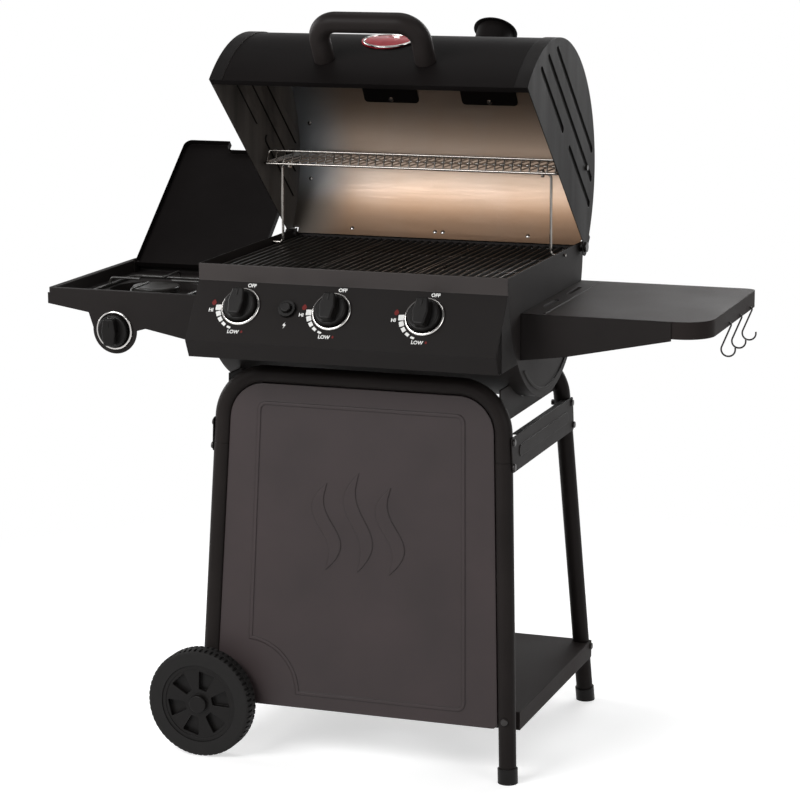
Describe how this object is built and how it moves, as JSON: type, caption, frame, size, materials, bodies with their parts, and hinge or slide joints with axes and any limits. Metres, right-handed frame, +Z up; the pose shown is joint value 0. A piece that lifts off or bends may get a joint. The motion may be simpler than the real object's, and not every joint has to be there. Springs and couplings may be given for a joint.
{
  "type": "gas barbecue grill",
  "caption": "Cart gas grill with a barrel lid on a hinge, knobs on a sloping front, a side burner under its own lid, a side shelf and wheels.",
  "frame": {"origin": "bottom centre of the box round the whole grill with both lids open, on the floor", "axes": "+X to the right hand of someone facing the knobs, +Y from the front to the back, +Z up"},
  "size_m": [1.288, 0.7648, 1.3746],
  "materials": {
    "black_paint": "fine textured satin powder coat",
    "panel_paint": "fine textured satin powder coat",
    "black_plastic": "satin",
    "tyre_rubber": "matt",
    "bright_steel": "brushed",
    "chrome_wire": "plated",
    "dark_zinc": "black zinc",
    "cast_iron": "matt enamel",
    "brass": "machined",
    "red_enamel": "gloss enamel"
  },
  "bodies": {
    "cart": {"front_upper_frame": "black_paint", "rear_upper_frame": "black_paint", "front_left_leg": "black_paint", "front_right_leg": "black_paint", "rear_left_leg": "black_paint", "rear_right_leg": "black_paint", "foot_caps": "black_plastic", "wheel_axle": "bright_steel", "front_panel": "panel_paint", "bottom_shelf": "black_paint", "left_brace": "black_paint", "right_brace": "black_paint", "firebox_cradles": "black_paint", "frame_bolts": "dark_zinc", "firebox_shell": "black_paint", "firebox_left_end": "black_paint", "firebox_right_end": "black_paint", "control_panel": "black_paint", "knob_bezels": "chrome_wire", "gas_manifold": "brass", "burner_valves": "brass", "main_burners": "bright_steel", "heat_tents": "bright_steel", "grill_rails": "bright_steel", "igniter": "black_plastic", "grease_cup": "bright_steel", "cup_hanger": "bright_steel", "hinge_pins": "dark_zinc", "left_shelf": "black_paint", "side_burner": "cast_iron", "side_burner_grate": "cast_iron", "right_shelf": "black_paint", "right_shelf_bracket": "black_paint", "cooking_grate_1": "cast_iron", "cooking_grate_2": "cast_iron", "cooking_grate_3": "cast_iron"},
    "lid": {"lid_shell": "black_paint", "lid_liner": "bright_steel", "lid_left_end": "black_paint", "lid_right_end": "black_paint", "lid_handle": "black_paint", "lid_badge": "red_enamel", "heat_gauge": "chrome_wire", "smokestack": "black_paint"},
    "stack_damper": {"stack_damper": "black_paint"},
    "warming_rack": {"warming_rack": "chrome_wire"},
    "rack_legs": {"rack_legs": "chrome_wire"},
    "side_burner_lid": {"side_burner_lid": "black_paint"},
    "left_knob": {"left_knob": "black_plastic"},
    "centre_knob": {"centre_knob": "black_plastic"},
    "right_knob": {"right_knob": "black_plastic"},
    "side_knob": {"side_knob": "black_plastic"},
    "igniter_button": {"igniter_button": "black_plastic"},
    "front_wheel": {"front_wheel_rim": "black_plastic", "front_wheel_tyre": "tyre_rubber"},
    "rear_wheel": {"rear_wheel_rim": "black_plastic", "rear_wheel_tyre": "tyre_rubber"},
    "tool_hook_1": {"tool_hook_1": "dark_zinc"},
    "tool_hook_2": {"tool_hook_2": "dark_zinc"},
    "tool_hook_3": {"tool_hook_3": "dark_zinc"}
  },
  "joints": [
    {"name": "lid_hinge", "type": "hinge", "parent": "cart", "child": "lid", "pos_m": [-0.003, 0.14364, 0.915], "axis": [1, 0, 0], "range_deg": [0, 41.6]},
    {"name": "rack_pivot", "type": "hinge", "parent": "lid", "child": "warming_rack", "pos_m": [-0.003, 0.14364, 1.066], "axis": [1, 0, 0], "range_deg": [-41.6, 0]},
    {"name": "rack_leg_pivot", "type": "hinge", "parent": "cart", "child": "rack_legs", "pos_m": [-0.003, 0.03064, 0.915], "axis": [1, 0, 0], "range_deg": [0, 41.6]},
    {"name": "damper_pivot", "type": "hinge", "parent": "lid", "child": "stack_damper", "pos_m": [0.112, 0.19212, 1.2972], "axis": [0, 0.6639, 0.7478], "range_deg": [0, 120]},
    {"name": "side_lid_hinge", "type": "hinge", "parent": "cart", "child": "side_burner_lid", "pos_m": [-0.49625, 0.12264, 0.846], "axis": [1, 0, 0], "range_deg": [0, 140]},
    {"name": "left_knob_turn", "type": "hinge", "parent": "cart", "child": "left_knob", "pos_m": [-0.203, -0.34229, 0.85213], "axis": [0, -0.8256, 0.5642], "range_deg": [0, 180]},
    {"name": "centre_knob_turn", "type": "hinge", "parent": "cart", "child": "centre_knob", "pos_m": [-0.028, -0.34229, 0.85213], "axis": [0, -0.8256, 0.5642], "range_deg": [0, 180]},
    {"name": "right_knob_turn", "type": "hinge", "parent": "cart", "child": "right_knob", "pos_m": [0.147, -0.34229, 0.85213], "axis": [0, -0.8256, 0.5642], "range_deg": [0, 180]},
    {"name": "side_knob_turn", "type": "hinge", "parent": "cart", "child": "side_knob", "pos_m": [-0.5055, -0.23836, 0.7755], "axis": [0, -1, 0], "range_deg": [0, 180]},
    {"name": "igniter_press", "type": "slide", "parent": "cart", "child": "igniter_button", "axis": [0, 0.8256, -0.5642], "range_m": [0, 0.005], "stiffness_N_per_m": 400, "springref_m": -0.001},
    {"name": "front_wheel_spin", "type": "hinge", "parent": "cart", "child": "front_wheel", "pos_m": [-0.29501, -0.05636, 0.1024], "axis": [0, 1, 0], "continuous": true},
    {"name": "rear_wheel_spin", "type": "hinge", "parent": "cart", "child": "rear_wheel", "pos_m": [-0.29501, -0.05636, 0.1024], "axis": [0, 1, 0], "continuous": true},
    {"name": "tool_hook_1_swing", "type": "hinge", "parent": "cart", "child": "tool_hook_1", "pos_m": [0.6304, -0.07336, 0.8245], "axis": [0, -1, 0], "range_deg": [-4, 25]},
    {"name": "tool_hook_2_swing", "type": "hinge", "parent": "cart", "child": "tool_hook_2", "pos_m": [0.6304, 0.01264, 0.8245], "axis": [0, -1, 0], "range_deg": [-4, 25]},
    {"name": "tool_hook_3_swing", "type": "hinge", "parent": "cart", "child": "tool_hook_3", "pos_m": [0.6304, 0.09864, 0.8245], "axis": [0, -1, 0], "range_deg": [-4, 25]}
  ],
  "couplings": [
    {"joint": "rack_pivot", "follows": "lid_hinge", "ratio": -1},
    {"joint": "rack_leg_pivot", "follows": "lid_hinge", "ratio": 1}
  ]
}
